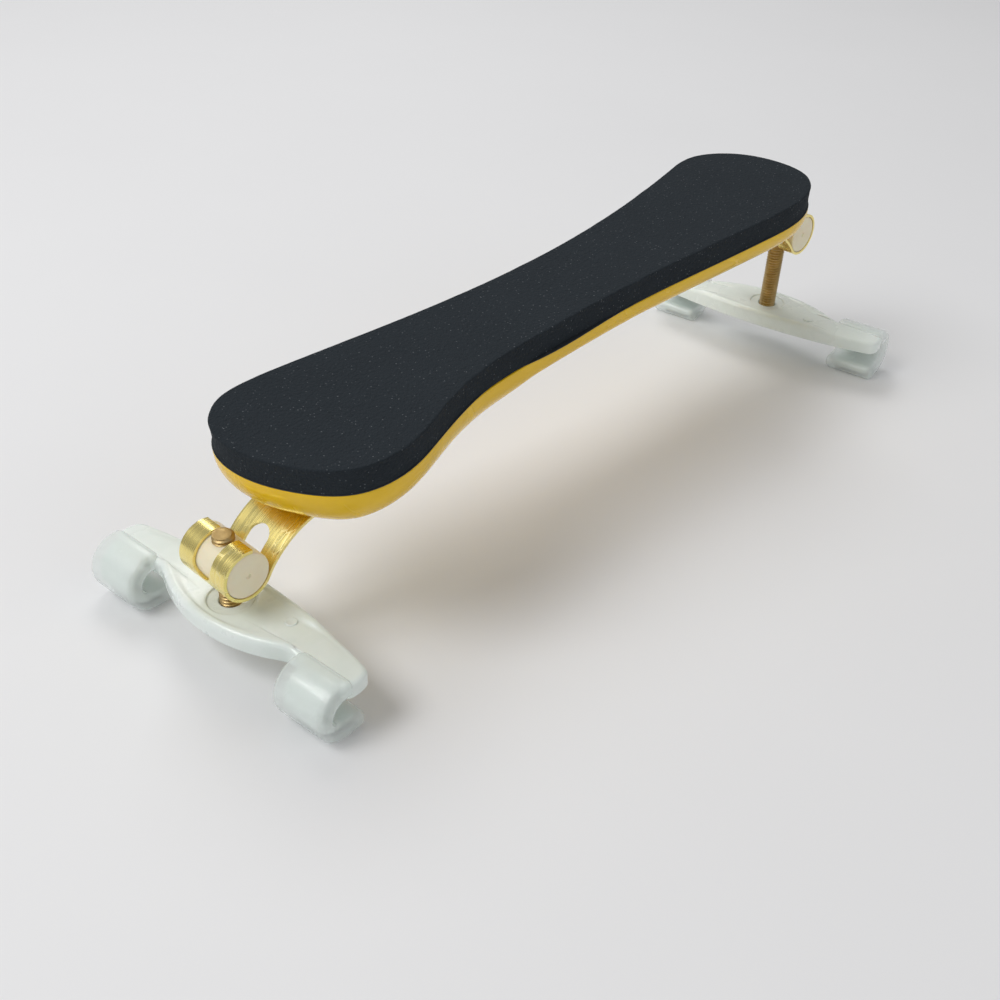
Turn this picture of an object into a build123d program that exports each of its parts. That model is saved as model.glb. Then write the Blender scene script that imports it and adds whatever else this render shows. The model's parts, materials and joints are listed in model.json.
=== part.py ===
from build123d import *
from collections import namedtuple
from math import cos, degrees, radians, sin, sqrt
import os

# Violin shoulder rest.  Millimetres, +Z up.  It stands level on the four claws of its two feet,
# with +X running from the near foot to the far foot and +Y towards the violin's neck.
# The base bar rises towards +X.  The origin is at the bottom centre of the whole rest.

# ---- driving sizes -------------------------------------------------------------------------
foot_span = 168.0            # stud to stud along X
near_post = 8.5              # foot top to barrel centre at the near end
bar_slope = 4.0              # degrees that the base rises towards the far end
near_foot_x = -85.175        # stud axis of the near foot
foot_line_y = -0.182         # line through both studs
near_foot_angle = 4.4        # how far each foot is turned about its stud to follow the violin's edge
far_foot_angle = 8.9

foam_height = 19.5           # foam top above the line through the barrel centres
foam_thickness = 5.0
film_thickness = 0.15        # adhesive film under the foam
near_base_depth = 9.5        # base thickness over the near bracket
middle_base_depth = 4.5
far_base_depth = 7.35
base_rim = 1.0               # upright rim above the rounded belly
belly_inset = 14.0           # how far in from the rim the belly would become level
belly_depth = 10.2
near_seat_end = 51.0         # the deep near end, from the near barrel along the bar
far_seat_end = 54.4          # the far seat, from the far barrel back along the bar
seat_ramp = 17.0             # length of the slopes up to the thin middle
foam_edge = 0.35

strip_width = 12.8           # bracket strip
strip_thickness = 0.6
barrel_radius = 4.4
barrel_play = 0.05           # round the nylon barrel inside the curl
free_end_angle = 20.0        # the strip's free end, degrees past the top of the curl
swing_in = 74.0              # stud's swing about the barrel towards the base's middle, from square to the bar
swing_out = 8.0
stud_slot = 5.0              # width of the slots that the stud swings in
neck_leave = 35.0            # the neck leaves the curl this many degrees below the barrel centre
neck_slot_angle = 39.0       # centre of the neck slot's round end, degrees short of level
slide_gap = 0.1              # strip to base, and strip to washer

screw_radius = 1.5           # bracket clamp screws
screw_head_radius = 2.8
screw_head_height = 1.6
screw_length = 5.4           # shank above the head
screw_pitch = 8.0            # between the two screws of one bracket
screw_place = 26.0           # outer screw from the barrel, along the bar
screw_slot_play = 0.2
screw_recess_depth = 0.9
screw_recess_width = 0.7
width_out = 6.0              # bracket travel away from the middle
width_in = 2.0
washer_radius = 3.3
washer_play = 0.1
washer_thickness = 0.5
insert_radius = 2.3
insert_length = 4.4
strip_tail = 5.0             # strip beyond the end of its screw slot

barrel_chamfer = 0.25
stud_radius = 2.0            # M4 rod
thread_play = 0.05
stud_chamfer = 0.35
near_stud_tip = 5.5          # stud above the barrel centre
far_stud_tip = 4.6

foot_height = 12.0           # foot top above the surface it stands on
plate_thickness = 3.9
plate_half_length = 31.0     # hub to the end of the foot
plate_inner = 7.2            # hub to the middle of the edge under the base
plate_inner_end = 3.6        # the same edge at the end of the foot
shoulder_reach = 6.9         # hub to the rounded outer shoulder
shoulder_half = 17.5
shoulder_root = 1.6
plate_round = 1.1
plate_corner = 1.8
recess_radius = 4.3          # shallow dish round the stud
recess_depth = 0.35
bush_radius = 3.5
bush_top = 1.0               # plate left above the bush
bush_bottom = 3.4

claw_place = 24.9            # hub to the middle of a claw
claw_width = 11.0
claw_centre = 2.3            # hub to the axis of a claw's bend
claw_inside = 3.3            # radii of the hard claw
claw_outside = 5.3
claw_tip = 3.4               # straight end of the hook, past its axis
sleeve_wall = 0.7            # clear soft sleeve over each claw
sleeve_tip = 1.0

# ---- sizes that follow ---------------------------------------------------------------------
slope = radians(bar_slope)
curl_inside = barrel_radius + barrel_play
curl_outside = curl_inside + strip_thickness
curl_middle = curl_inside + strip_thickness / 2
foam_bottom = foam_height - foam_thickness
base_top = foam_bottom - film_thickness
slot_start = screw_place - width_in
slot_end = screw_place + screw_pitch + width_out
strip_end = slot_end + screw_radius + screw_slot_play + strip_tail
barrel_height = foot_height + near_post
far_rise = foot_span * sin(slope) / cos(slope)
bar_length = foot_span / cos(slope)
claw_axis_drop = foot_height - claw_outside - sleeve_wall


End = namedtuple("End", "name side hub_x barrel_z tip turn seat")
NEAR = End("near", 1, near_foot_x, barrel_height, near_stud_tip, near_foot_angle,
           base_top - near_base_depth)
FAR = End("far", -1, near_foot_x + foot_span, barrel_height + far_rise, far_stud_tip, far_foot_angle,
          base_top - far_base_depth)

# ---- planes --------------------------------------------------------------------------------
# The bar plane lies along the base through both barrel centres: x along the base, z square to it.
bar = Plane(
    origin=(NEAR.hub_x, foot_line_y, NEAR.barrel_z),
    x_dir=(cos(slope), 0, sin(slope)),
    z_dir=(-sin(slope), 0, cos(slope)),
)
bar_up = Axis((0, 0, 0), (-sin(slope), 0, cos(slope)))


def bar_side(end):
    """Upright plane along the bar through one barrel centre: x inwards, y square to the bar."""
    return Plane(
        origin=(end.hub_x, foot_line_y, end.barrel_z),
        x_dir=(end.side * cos(slope), 0, end.side * sin(slope)),
        z_dir=(0, -end.side, 0),
    )


def bar_flat(end, height):
    """Plane parallel to the base, its origin over one barrel centre, x inwards."""
    side = bar_side(end)
    return Plane(origin=side.from_local_coords(Vector(0, height, 0)), x_dir=side.x_dir, z_dir=bar.z_dir)


def foot_flat(end, drop=0.0):
    """Level plane at a foot's top, its origin on the stud axis, x inwards."""
    turn = radians(end.turn)
    return Plane(
        origin=(end.hub_x, foot_line_y, foot_height - drop),
        x_dir=(end.side * cos(turn), end.side * sin(turn), 0),
        z_dir=(0, 0, 1),
    )


def foot_side(end, place):
    """Upright plane across a foot at a distance from the stud axis: x inwards, y up from the surface."""
    flat = foot_flat(end, foot_height)
    upright = Plane(origin=flat.origin, x_dir=flat.x_dir, z_dir=flat.x_dir.cross(Vector(0, 0, 1)))
    return upright.offset(place)


def strip_levels(end):
    """Heights above the barrel centre of the strip's top and bottom, washer top and head top."""
    top = end.seat - slide_gap
    bottom = top - strip_thickness
    washer_top = bottom - slide_gap
    return top, bottom, washer_top, washer_top - washer_thickness


def on_ray(radius, angle):
    """Point at an angle in degrees, counted from the x direction."""
    return (radius * cos(radians(angle)), radius * sin(radians(angle)))


def finish(block, name):
    """Label one finished piece and write it to its own file."""
    block.part.label = name
    export_step(block.part, f"parts/{name}.step")
    print(name, len(block.part.solids()), round(block.part.volume, 1), block.part.is_valid)


os.makedirs("parts", exist_ok=True)

# ---- base, adhesive film and foam pad --------------------------------------------------------
# Plan of the base as distances along the bar from the nearer barrel and across it: the near half
# from the tail side's waist round the near tip, then the far half round the far tip and back.
near_plan = [
    (64.0, -11.7), (48.0, -12.9), (35.5, -16.8), (25.5, -19.4), (16.2, -17.6), (9.4, -9.6),
    (5.9, 1.5), (7.9, 11.2), (13.4, 15.8), (20.5, 16.5), (31.0, 15.3), (52.0, 12.2), (78.0, 9.7),
]
far_plan = [
    (68.4, 9.7), (46.4, 11.9), (27.4, 15.3), (17.9, 15.9), (10.6, 10.9), (6.6, 0.0),
    (9.0, -10.6), (17.9, -15.8), (31.4, -16.2), (52.4, -14.2), (78.4, -12.2),
]
plan_bar = 168.41            # bar that the plan was drawn for; it stretches along with a longer one
stretch = bar_length / plan_bar
base_plan = [(along * stretch, across) for along, across in near_plan]
base_plan += [(bar_length - back * stretch, across) for back, across in far_plan]
spine_end = 22.0             # middle line that the belly's slices shrink towards, from either barrel
spine_across = -0.8
belly_slices = (0.0, 1.0, 3.5, 6.0, 8.0, 9.5)


def inset_plan(inset):
    """The plan's points drawn in towards the middle line of the bar by an inset."""
    points = []
    for along, across in base_plan:
        middle = Vector(min(max(along, spine_end), bar_length - spine_end), spine_across)
        out = Vector(along, across) - middle
        points.append(tuple(middle + out.normalized() * (out.length - inset))[:2])
    return points


with BuildSketch() as plan:
    with BuildLine():
        Spline(*base_plan, periodic=True)
    make_face()

with BuildPart() as base:
    for depth in belly_slices:
        inset = belly_inset * (1 - sqrt(1 - (max(depth - base_rim, 0) / belly_depth) ** 2))
        with BuildSketch(bar.offset(base_top - depth)):
            with BuildLine():
                Spline(*inset_plan(inset), periodic=True)
            make_face()
    loft()
    # the underside rises between the two bracket seats
    with BuildSketch(bar_side(NEAR)):
        with BuildLine():
            low = NEAR.seat - foam_thickness
            middle = base_top - middle_base_depth
            far_start = bar_length - far_seat_end
            ramp_in = Spline((near_seat_end, NEAR.seat), (near_seat_end + seat_ramp, middle),
                             tangents=[(1, 0), (1, 0)])
            Line(ramp_in @ 1, (far_start - seat_ramp, middle))
            ramp_out = Spline((far_start - seat_ramp, middle), (far_start, FAR.seat),
                              tangents=[(1, 0), (1, 0)])
            Polyline(ramp_out @ 1, (bar_length, FAR.seat), (bar_length, low), (near_seat_end, low),
                     ramp_in @ 0)
        make_face()
    extrude(amount=foot_span, both=True, mode=Mode.SUBTRACT)
    for end in (NEAR, FAR):
        with BuildSketch(bar_flat(end, end.seat)):
            with Locations((screw_place, 0), (screw_place + screw_pitch, 0)):
                Circle(insert_radius)
        extrude(amount=insert_length, mode=Mode.SUBTRACT)
finish(base, "base_plate")

with BuildPart() as film:
    with BuildSketch(bar.offset(base_top)):
        add(plan.sketch)
    extrude(amount=film_thickness)
finish(film, "adhesive_film")

with BuildPart() as foam:
    with BuildSketch(bar.offset(foam_bottom)):
        add(plan.sketch)
    extrude(amount=foam_thickness)
    fillet(foam.faces().sort_by(bar_up)[-1].edges(), radius=foam_edge)
finish(foam, "foam_pad")


# ---- bracket: one strip, flat under the base, bent down and curled round the barrel ----------
def make_bracket(end):
    """The bent strip with its two stud slots and its screw slot."""
    side = bar_side(end)
    strip_top, strip_bottom = strip_levels(end)[:2]
    leave = sin(radians(neck_leave))
    neck_radius = (strip_top - strip_thickness / 2 + curl_middle * leave) / (1 - leave)
    neck_centre = on_ray(curl_middle + neck_radius, -neck_leave)
    neck_start = 180 - neck_leave
    with BuildPart() as bracket:
        with BuildSketch(side):
            with BuildLine():
                start = 90 - free_end_angle
                turn = 360 - neck_leave - start
                outer = CenterArc((0, 0), curl_outside, start, turn)
                inner = CenterArc((0, 0), curl_inside, start, turn)
                lower = CenterArc(neck_centre, neck_radius - strip_thickness / 2, neck_start,
                                  90 - neck_start)
                upper = CenterArc(neck_centre, neck_radius + strip_thickness / 2, neck_start,
                                  90 - neck_start)
                Line(inner @ 0, outer @ 0)
                Polyline(lower @ 1, (strip_end, strip_bottom), (strip_end, strip_top), upper @ 1)
            make_face()
        extrude(amount=strip_width / 2, both=True)

        # slot that the stud's upper end swings in, open at the free end
        reach = curl_outside * 1.6
        with BuildSketch(side):
            Polygon((0, 0), on_ray(reach, 55), on_ray(reach * 1.3, 110), on_ray(reach, 90 + swing_in),
                    align=None)
        extrude(amount=stud_slot / 2, both=True, mode=Mode.SUBTRACT)

        # slot from the bottom of the curl up the neck, for the stud's lower side
        neck_top = 90 + neck_slot_angle
        on_neck = on_ray(neck_radius * 1.06, neck_top)
        over = (neck_centre[0] + on_neck[0], neck_centre[1] + on_neck[1])
        with BuildSketch(side):
            Polygon((0, 0), on_ray(reach, 270 - swing_out), (0, -reach), neck_centre, over, align=None)
        extrude(amount=stud_slot / 2, both=True, mode=Mode.SUBTRACT)

        # the round ends of both slots
        for origin, angle, length in (
            ((0, 0), 90 + swing_in, reach),
            ((0, 0), 270 - swing_out, reach),
            (neck_centre, neck_top, neck_radius * 1.1),
        ):
            towards = side.from_local_coords(Vector(*on_ray(1, angle), 0)) - side.origin
            with BuildSketch(Plane(origin=side.from_local_coords(Vector(*origin, 0)), z_dir=towards)):
                Circle(stud_slot / 2)
            extrude(amount=length, mode=Mode.SUBTRACT)

        # slot for the clamp screws, and the rounded inner end of the strip
        with BuildSketch(bar_flat(end, strip_bottom)):
            with Locations(((slot_start + slot_end) / 2, 0)):
                SlotCenterToCenter(slot_end - slot_start, 2 * (screw_radius + screw_slot_play))
        extrude(amount=strip_thickness, mode=Mode.SUBTRACT)
        inwards = Axis((0, 0, 0), (end.side * cos(slope), 0, end.side * sin(slope)))
        fillet(bracket.edges().filter_by(bar_up).group_by(inwards)[-1], radius=strip_width / 4)
    return bracket


for end in (NEAR, FAR):
    finish(make_bracket(end), f"{end.name}_bracket")


# ---- clamp screws, washers and threaded inserts ----------------------------------------------
screw_places = [(screw_place, 0), (screw_place + screw_pitch, 0)]
for end in (NEAR, FAR):
    head_top = strip_levels(end)[3]
    with BuildPart() as inserts:
        with BuildSketch(bar_flat(end, end.seat)):
            with Locations(*screw_places):
                Circle(insert_radius)
                Circle(screw_radius, mode=Mode.SUBTRACT)
        extrude(amount=insert_length)
    finish(inserts, f"{end.name}_base_inserts")

    with BuildPart() as washers:
        with BuildSketch(bar_flat(end, head_top)):
            with Locations(*screw_places):
                Circle(washer_radius)
                Circle(screw_radius + washer_play, mode=Mode.SUBTRACT)
        extrude(amount=washer_thickness)
    finish(washers, f"{end.name}_clamp_washers")

    with BuildPart() as screws:
        with BuildSketch(bar_flat(end, head_top)):
            with Locations(*screw_places):
                Circle(screw_radius)
        extrude(amount=screw_length)
        with BuildSketch(bar_flat(end, head_top)):
            with Locations(*screw_places):
                Circle(screw_head_radius)
        extrude(amount=-screw_head_height)
        rims = screws.faces().filter_by(bar_up).sort_by(bar_up)[0:2].edges().filter_by(GeomType.CIRCLE)
        fillet(rims, radius=screw_head_height * 0.4)
        with BuildSketch(bar_flat(end, head_top - screw_head_height)):
            with Locations(*screw_places):
                Rectangle(screw_head_radius * 1.2, screw_recess_width)
                Rectangle(screw_recess_width, screw_head_radius * 1.2)
        extrude(amount=screw_recess_depth, mode=Mode.SUBTRACT)
    finish(screws, f"{end.name}_clamp_screws")


# ---- barrel nut and stud ---------------------------------------------------------------------
for end in (NEAR, FAR):
    centre = (end.hub_x, foot_line_y, end.barrel_z)
    with BuildPart() as barrel:
        with BuildSketch(Plane(origin=centre, z_dir=(0, 1, 0))):
            Circle(barrel_radius)
        extrude(amount=strip_width / 2, both=True)
        chamfer(barrel.edges().filter_by(GeomType.CIRCLE), length=barrel_chamfer)
        with BuildSketch(Plane(origin=centre, z_dir=(0, 0, 1))):
            Circle(stud_radius + thread_play)
        extrude(amount=barrel_radius * 1.1, both=True, mode=Mode.SUBTRACT)
    finish(barrel, f"{end.name}_barrel_nut")

    with BuildPart() as stud:
        with BuildSketch(foot_flat(end, bush_bottom)):
            Circle(stud_radius)
        extrude(amount=end.barrel_z + end.tip - foot_height + bush_bottom)
        chamfer(stud.edges().filter_by(GeomType.CIRCLE), length=stud_chamfer)
    finish(stud, f"{end.name}_stud")


# ---- feet ------------------------------------------------------------------------------------
def make_claw(end, place, inside, outside, tip, width):
    """One hooked claw as a band of the given radii, bent outwards, down and back under."""
    drop = claw_axis_drop
    with BuildPart() as claw:
        with BuildSketch(foot_side(end, place)):
            with BuildLine():
                CenterArc((-claw_centre, drop), outside, 90, 180)
                CenterArc((-claw_centre, drop), inside, 90, 180)
                Line((-claw_centre, drop + inside), (-claw_centre, drop + outside))
                Polyline(
                    (-claw_centre, drop - inside),
                    (tip - claw_centre, drop - inside),
                    (tip - claw_centre, drop - outside),
                    (-claw_centre, drop - outside),
                )
            make_face()
        extrude(amount=width / 2, both=True)
    return claw.part


for end in (NEAR, FAR):
    claws = [
        make_claw(end, place, claw_inside, claw_outside, claw_tip, claw_width)
        for place in (-claw_place, claw_place)
    ]
    with BuildPart() as core:
        with BuildSketch(foot_flat(end, plate_thickness)) as core_plan:
            with BuildLine():
                ThreePointArc((plate_inner_end, -plate_half_length), (plate_inner, 0),
                              (plate_inner_end, plate_half_length))
                Polyline((plate_inner_end, plate_half_length), (-claw_centre, plate_half_length),
                         (-claw_centre, shoulder_half + shoulder_root),
                         (-shoulder_root, shoulder_half))
                ThreePointArc((-shoulder_root, shoulder_half), (-shoulder_reach, 0),
                              (-shoulder_root, -shoulder_half))
                Polyline((-shoulder_root, -shoulder_half),
                         (-claw_centre, -shoulder_half - shoulder_root),
                         (-claw_centre, -plate_half_length), (plate_inner_end, -plate_half_length))
            make_face()
            tips = core_plan.vertices().group_by(Axis((0, 0, 0), (0, 1, 0)))
            fillet(tips[0] + tips[-1], radius=plate_corner)
        extrude(amount=plate_thickness)
        fillet(core.faces().sort_by(Axis.Z)[-1].edges(), radius=plate_round)
        add(claws)
        with BuildSketch(foot_flat(end)):
            Circle(recess_radius)
        extrude(amount=-recess_depth, mode=Mode.SUBTRACT)
        with BuildSketch(foot_flat(end)):
            Circle(stud_radius + thread_play)
        extrude(amount=-plate_thickness, mode=Mode.SUBTRACT)
        with BuildSketch(foot_flat(end, plate_thickness)):
            Circle(bush_radius + thread_play)
        extrude(amount=plate_thickness - bush_top, mode=Mode.SUBTRACT)
    finish(core, f"{end.name}_foot")

    with BuildPart() as bush:
        with BuildSketch(foot_flat(end, bush_bottom)):
            Circle(bush_radius)
            Circle(stud_radius + thread_play, mode=Mode.SUBTRACT)
        extrude(amount=bush_bottom - bush_top - thread_play)
    finish(bush, f"{end.name}_stud_bush")

    for word, place in (("neck", -claw_place), ("tail", claw_place)):
        with BuildPart() as sleeve:
            add(make_claw(end, place * end.side, claw_inside - sleeve_wall, claw_outside + sleeve_wall,
                          claw_tip + sleeve_tip, claw_width + 2 * sleeve_wall))
            add(core.part, mode=Mode.SUBTRACT)
        finish(sleeve, f"{end.name}_{word}_sleeve")
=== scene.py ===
"""Looks of the violin shoulder rest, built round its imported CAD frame."""

import json
import logging
import math
from dataclasses import dataclass, field
from enum import Enum
from typing import Sequence

import bpy
import numpy as np
from mathutils import Matrix, Vector


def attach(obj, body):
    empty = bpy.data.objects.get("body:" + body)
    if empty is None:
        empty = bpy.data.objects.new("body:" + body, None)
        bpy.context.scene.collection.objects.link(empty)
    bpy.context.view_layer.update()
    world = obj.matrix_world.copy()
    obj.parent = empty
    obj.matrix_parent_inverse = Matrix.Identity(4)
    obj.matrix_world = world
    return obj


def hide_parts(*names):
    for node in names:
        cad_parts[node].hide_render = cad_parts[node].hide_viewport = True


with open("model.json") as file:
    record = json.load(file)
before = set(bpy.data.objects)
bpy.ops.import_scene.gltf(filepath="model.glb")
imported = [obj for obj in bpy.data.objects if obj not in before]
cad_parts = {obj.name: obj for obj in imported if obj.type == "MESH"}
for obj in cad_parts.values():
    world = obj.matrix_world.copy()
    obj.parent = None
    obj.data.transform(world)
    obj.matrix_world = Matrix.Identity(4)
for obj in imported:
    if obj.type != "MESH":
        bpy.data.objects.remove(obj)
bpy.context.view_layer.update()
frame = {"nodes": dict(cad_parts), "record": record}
MM = 0.001
SHARP_ANGLE = math.radians(38)
MIX_FACTOR, MIX_FIRST, MIX_SECOND, MIX_RESULT = 0, 6, 7, 2

log = logging.getLogger("shoulder_rest")

Colour = tuple[float, float, float]
Points = tuple[tuple[float, float], ...]
Tree = bpy.types.NodeTree
Node = bpy.types.Node
Socket = bpy.types.NodeSocket
Sockets = bpy.types.bpy_prop_collection


class End(Enum):
    """The two ends of the bar."""

    NEAR = "near"
    FAR = "far"


class Hand(Enum):
    """The side of a foot that a claw stands on."""

    NECK = "neck"
    TAIL = "tail"


ROD_TIP = {End.NEAR: 5.5, End.FAR: 4.6}  # rod's end above the barrel's centre, mm
FOOT_TURN = {End.NEAR: 4.4, End.FAR: 8.9}  # degrees that each foot stands turned about its rod


# ---- numpy surfaces ----


def round_angles(count: int) -> np.ndarray:
    """Angles at equal steps round a full turn.

    Args:
        count: number of steps.

    Returns:
        Radians from 0, with the full turn itself left out.
    """
    return np.linspace(0, 2 * math.pi, count, endpoint=False)


def smooth_step(share: np.ndarray | float) -> np.ndarray | float:
    """The smooth step 3s^2 - 2s^3.

    Args:
        share: s, from 0 to 1.

    Returns:
        Values that leave 0 and reach 1 level.
    """
    return 3 * share**2 - 2 * share**3


def periodic_spline(points: np.ndarray, count: int) -> np.ndarray:
    """Closed curve of cubics through points, with continuous curvature.

    Second derivatives m solve the cyclic system h0*m0 + 2(h0+h1)*m1 + h1*m2 = 6(slope1 - slope0),
    where h is the chord from each point to the next.

    Args:
        points: (n, 2) points in order round the curve.
        count: number of samples, evenly spaced in chord length.

    Returns:
        (count, 2) samples.
    """
    n = len(points)
    after = np.roll(points, -1, axis=0)
    h = np.linalg.norm(after - points, axis=1)
    slopes = (after - points) / h[:, None]
    i = np.arange(n)
    system = np.zeros((n, n))
    system[i, i] = 2 * (np.roll(h, 1) + h)
    system[i, (i + 1) % n] = h
    system[i, (i - 1) % n] = np.roll(h, 1)
    m = np.linalg.solve(system, 6 * (slopes - np.roll(slopes, 1, axis=0)))
    knots = np.concatenate([[0.0], np.cumsum(h)])
    s = np.arange(count) / count * knots[-1]
    k = np.clip(np.searchsorted(knots, s, side="right") - 1, 0, n - 1)
    a, b = (knots[k + 1] - s)[:, None], (s - knots[k])[:, None]
    hk, m0, m1 = h[k][:, None], m[k], m[(k + 1) % n]
    p0, p1 = points[k], points[(k + 1) % n]
    return (
        (m0 * a**3 + m1 * b**3) / (6 * hk)
        + (p0 / hk - m0 * hk / 6) * a
        + (p1 / hk - m1 * hk / 6) * b
    )


def even_spacing(loop: np.ndarray, count: int) -> np.ndarray:
    """Resamples a closed polyline at equal steps of its length.

    Args:
        loop: (n, 2) points of the closed polyline.
        count: number of samples.

    Returns:
        (count, 2) samples.
    """
    closed = np.vstack([loop, loop[:1]])
    run = np.concatenate([[0.0], np.cumsum(np.linalg.norm(np.diff(closed, axis=0), axis=1))])
    s = np.arange(count) / count * run[-1]
    return np.column_stack([np.interp(s, run, closed[:, axis]) for axis in range(2)])


def smooth_loop(loop: np.ndarray, passes: int) -> np.ndarray:
    """Rounds a closed polyline: each pass is the average of half a point and a quarter of either
    neighbour.

    Args:
        loop: (n, 2) points.
        passes: how often the average is taken.

    Returns:
        (n, 2) points.
    """
    for _ in range(passes):
        loop = loop / 2 + (np.roll(loop, 1, axis=0) + np.roll(loop, -1, axis=0)) / 4
    return loop


def outward(loop: np.ndarray) -> np.ndarray:
    """Unit normals of a closed anticlockwise loop: the central difference turned clockwise.

    Args:
        loop: (n, 2) points.

    Returns:
        (n, 2) unit vectors.
    """
    along = np.roll(loop, -1, axis=0) - np.roll(loop, 1, axis=0)
    along /= np.linalg.norm(along, axis=1)[:, None]
    return np.column_stack([along[:, 1], -along[:, 0]])


def anticlockwise(loop: np.ndarray) -> np.ndarray:
    """The loop itself, or its reverse where it runs clockwise.

    Args:
        loop: (n, 2) points.

    Returns:
        (n, 2) points.
    """
    after = np.roll(loop, -1, axis=0)
    area = np.sum(loop[:, 0] * after[:, 1] - loop[:, 1] * after[:, 0])
    return loop if area > 0 else loop[::-1]


def quarter_round(radius: float, steps: int, flat: float) -> np.ndarray:
    """Inset and rise of a rounded edge from the wall to the flat: inset = r(1 - cos a) and
    rise = r sin a for a from 0 to 90 degrees, then one more step along the flat.

    Args:
        radius: edge radius.
        steps: steps of the arc.
        flat: length of the last flat step.

    Returns:
        (steps + 2, 2) pairs of inset and rise.
    """
    a = np.linspace(0, math.pi / 2, steps + 1)
    arc = np.column_stack([radius * (1 - np.cos(a)), radius * np.sin(a)])
    return np.vstack([arc, [radius + flat, radius]])


def slab_rings(
    loop: np.ndarray, low: float, high: float, round_low: float, round_high: float, walls: int = 2
) -> np.ndarray:
    """Rings of a flat body with rounded edges: each ring is the plan drawn in along its normals by
    the profile's inset, at the profile's height.

    Args:
        loop: (n, 2) anticlockwise plan.
        low: height of the bottom.
        high: height of the top.
        round_low: radius of the lower edge.
        round_high: radius of the upper edge.
        walls: steps up the wall.

    Returns:
        (rings, n, 3) points from the bottom flat to the top flat.
    """
    under = quarter_round(round_low, 6, 0.15)[::-1]
    over = quarter_round(round_high, 6, 0.15)
    heights = np.concatenate([low + round_low - under[:, 1], high - round_high + over[:, 1]])
    insets = np.concatenate([under[:, 0], over[:, 0]])
    if walls > 2:
        between = np.linspace(low + round_low, high - round_high, walls)[1:-1]
        at = len(under)
        heights = np.insert(heights, at, between)
        insets = np.insert(insets, at, np.zeros(len(between)))
    flat = loop[None] - insets[:, None, None] * outward(loop)[None]
    return np.dstack([flat, np.broadcast_to(heights[:, None], flat.shape[:2])])


def ring_faces(rings: int, around: int, wrap: bool) -> np.ndarray:
    """Quads between successive rings of a grid that closes round each ring.

    Args:
        rings: number of rings.
        around: points in each ring.
        wrap: True also joins the last ring to the first.

    Returns:
        (faces, 4) vertex numbers.
    """
    r = np.arange(rings if wrap else rings - 1)[:, None]
    t = np.arange(around)[None]
    r1, t1 = (r + 1) % rings, (t + 1) % around
    quads = np.stack([r * around + t, r * around + t1, r1 * around + t1, r1 * around + t], axis=-1)
    return quads.reshape(-1, 4)


def signed_volume(points: np.ndarray, quads: np.ndarray) -> float:
    """Volume by the sum of a . (b x c) / 6 over the quads' triangles.

    Args:
        points: (n, 3) vertices.
        quads: (faces, 4) vertex numbers.

    Returns:
        The volume, negative if the surface is inside out.
    """
    a, b, c, d = (points[quads[:, i]] for i in range(4))
    one = np.einsum("ij,ij->i", a, np.cross(b, c))
    two = np.einsum("ij,ij->i", a, np.cross(c, d))
    return float(np.sum(one + two) / 6)


def surface(name: str, rings: np.ndarray, wrap: bool = False) -> bpy.types.Object:
    """Makes a closed mesh of rings in millimetres: quads between rings and one flat face at either
    end, or no ends where the rings wrap.

    Args:
        name: name of the piece.
        rings: (rings, around, 3) points in the frame, in millimetres.
        wrap: True joins the last ring to the first.

    Returns:
        The new object, at the origin.
    """
    count, around = rings.shape[:2]
    points = rings.reshape(-1, 3)
    quads = ring_faces(count, around, wrap)
    ends = [] if wrap else [np.arange(around)[::-1], np.arange(around) + (count - 1) * around]
    if signed_volume(points - points.mean(axis=0), quads) < 0:
        quads = quads[:, ::-1]
        ends = [end[::-1] for end in ends]
    mesh = bpy.data.meshes.new(name)
    mesh.from_pydata((points * MM).tolist(), [], quads.tolist() + [end.tolist() for end in ends])
    mesh.validate()
    mesh.shade_smooth()
    mesh.set_sharp_from_angle(angle=SHARP_ANGLE)
    piece = bpy.data.objects.new(name, mesh)
    bpy.context.scene.collection.objects.link(piece)
    return piece


# ---- finishes ----


class Effect(Enum):
    """Shader node groups that several finishes share."""

    GRAIN = "fine_grain"
    SPECKS = "light_specks"
    STREAKS = "brushed_streaks"
    HAZE = "cloudy_haze"
    SCRATCHES = "fine_scratches"


def new_group(
    effect: Effect, inputs: Sequence[tuple[str, float]], outputs: Sequence[str]
) -> tuple[Tree, Sockets, Sockets, Socket]:
    """Makes an empty shader node group that reads Object coordinates.

    Args:
        effect: which group.
        inputs: names and default values of its number inputs.
        outputs: names of its number outputs.

    Returns:
        The group, its inputs' sockets, its outputs' sockets and the coordinates.
    """
    group = bpy.data.node_groups.new(effect.value, "ShaderNodeTree")
    for name, value in inputs:
        socket = group.interface.new_socket(name, in_out="INPUT", socket_type="NodeSocketFloat")
        socket.default_value = value
    for name in outputs:
        group.interface.new_socket(name, in_out="OUTPUT", socket_type="NodeSocketFloat")
    given = group.nodes.new("NodeGroupInput")
    result = group.nodes.new("NodeGroupOutput")
    place = group.nodes.new("ShaderNodeTexCoord")
    return group, given.outputs, result.inputs, place.outputs["Object"]


def maths(
    group: Tree, operation: str, first: Socket | float, second: Socket | float | None = None
) -> Socket:
    """Adds a Math node to a tree.

    Args:
        group: the node tree.
        operation: the Math node's operation.
        first: a socket or a number.
        second: a socket or a number, or None.

    Returns:
        The node's output socket.
    """
    node = group.nodes.new("ShaderNodeMath")
    node.operation = operation
    for index, value in enumerate((first, second)):
        if isinstance(value, Socket):
            group.links.new(value, node.inputs[index])
        elif value is not None:
            node.inputs[index].default_value = value
    return node.outputs[0]


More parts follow.
